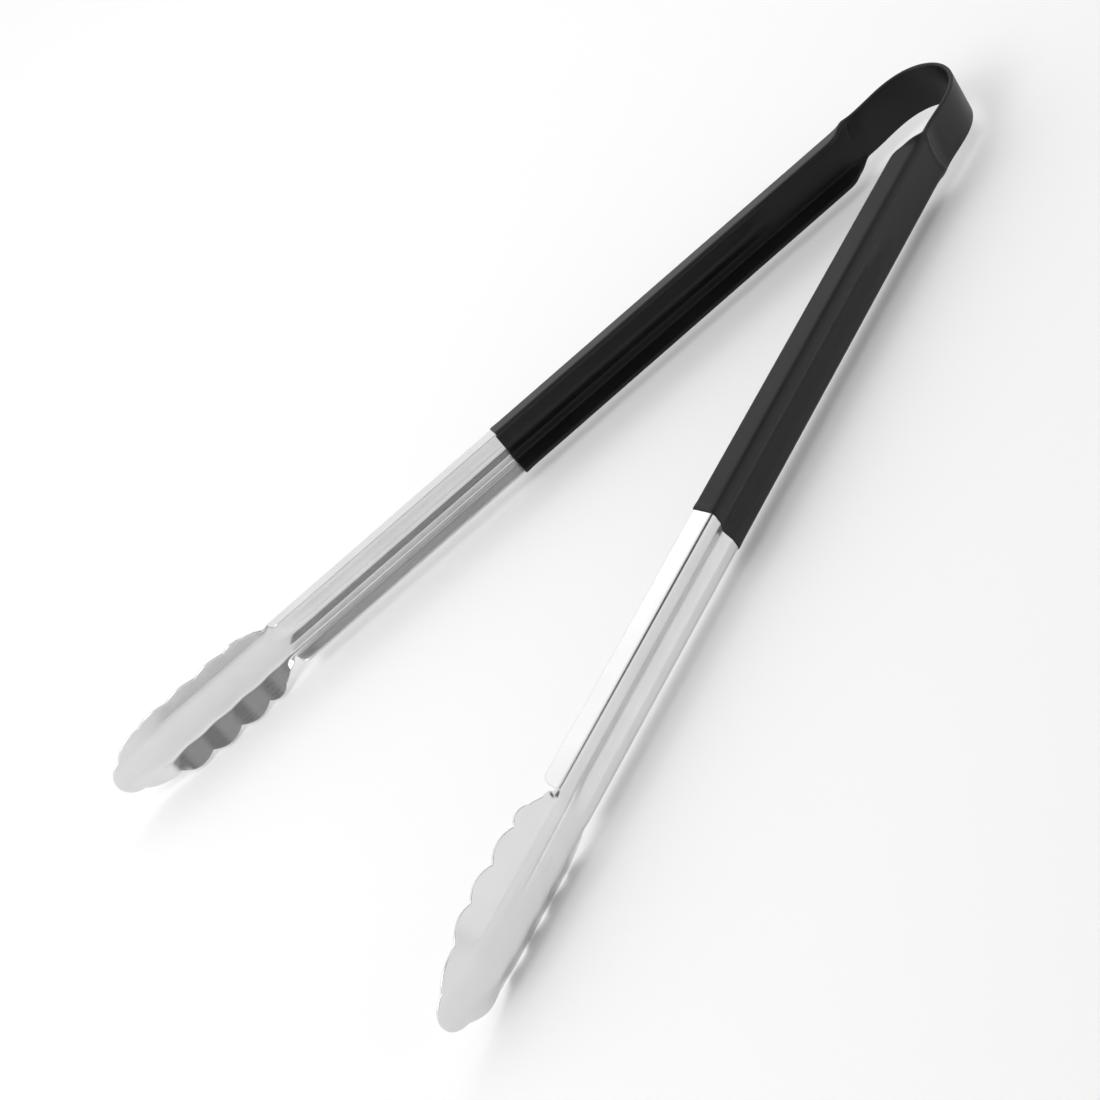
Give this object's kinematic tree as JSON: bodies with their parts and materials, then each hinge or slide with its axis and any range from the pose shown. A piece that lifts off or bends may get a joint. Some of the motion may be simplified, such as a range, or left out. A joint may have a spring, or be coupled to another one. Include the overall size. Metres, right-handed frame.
{
  "type": "spring loaded kitchen tongs",
  "caption": "One-piece sprung kitchen tongs: a bow of flat strip, pressed channel arms with scalloped dished jaws, and a soft dipped coat over bow and handles.",
  "frame": {"origin": "axis of the round of the bow, at the middle of the strip width", "axes": "+Z across the strip, the tongs lying on edge; the arms run towards -Y; X is the direction in which the jaws spread"},
  "size_m": [0.2168, 0.3964, 0.0338],
  "materials": {
    "steel": "bright satin stainless sheet",
    "coat": "satin dipped vinyl"
  },
  "bodies": {
    "crown": {"bow_crown": "steel", "bow_crown_coat": "coat"},
    "right_bend": {"right_bow_bend": "steel", "right_bow_bend_coat": "coat"},
    "right_leg": {"right_bow_leg": "steel", "right_bow_leg_coat": "coat"},
    "right_arm": {"right_shoulder": "steel", "right_shoulder_coat": "coat", "right_handle": "steel", "right_grip": "coat", "right_shank": "steel", "right_jaw": "steel"},
    "left_bend": {"left_bow_bend": "steel", "left_bow_bend_coat": "coat"},
    "left_leg": {"left_bow_leg": "steel", "left_bow_leg_coat": "coat"},
    "left_arm": {"left_shoulder": "steel", "left_shoulder_coat": "coat", "left_handle": "steel", "left_grip": "coat", "left_shank": "steel", "left_jaw": "steel"}
  },
  "joints": [
    {"name": "right_crown_flex", "type": "hinge", "parent": "crown", "child": "right_bend", "pos_m": [0.00693, 0.01486, 0], "axis": [0, 0, -1], "range_deg": [-1.3, 5.17], "stiffness_Nm_per_rad": 8},
    {"name": "right_bend_flex", "type": "hinge", "parent": "right_bend", "child": "right_leg", "pos_m": [0.01615, 0.00285, 0], "axis": [0, 0, -1], "range_deg": [-1.3, 5.17], "stiffness_Nm_per_rad": 8},
    {"name": "right_leg_flex", "type": "hinge", "parent": "right_leg", "child": "right_arm", "pos_m": [0.01865, -0.01133, 0], "axis": [0, 0, -1], "range_deg": [-1.3, 5.17], "stiffness_Nm_per_rad": 8},
    {"name": "left_crown_flex", "type": "hinge", "parent": "crown", "child": "left_bend", "pos_m": [-0.00693, 0.01486, 0], "axis": [0, 0, 1], "range_deg": [-1.3, 5.17], "stiffness_Nm_per_rad": 8},
    {"name": "left_bend_flex", "type": "hinge", "parent": "left_bend", "child": "left_leg", "pos_m": [-0.01615, 0.00285, 0], "axis": [0, 0, 1], "range_deg": [-1.3, 5.17], "stiffness_Nm_per_rad": 8},
    {"name": "left_leg_flex", "type": "hinge", "parent": "left_leg", "child": "left_arm", "pos_m": [-0.01865, -0.01133, 0], "axis": [0, 0, 1], "range_deg": [-1.3, 5.17], "stiffness_Nm_per_rad": 8}
  ],
  "couplings": [
    {"joint": "right_bend_flex", "follows": "right_crown_flex", "ratio": 1},
    {"joint": "right_leg_flex", "follows": "right_crown_flex", "ratio": 1},
    {"joint": "left_crown_flex", "follows": "right_crown_flex", "ratio": 1},
    {"joint": "left_bend_flex", "follows": "right_crown_flex", "ratio": 1},
    {"joint": "left_leg_flex", "follows": "right_crown_flex", "ratio": 1}
  ]
}
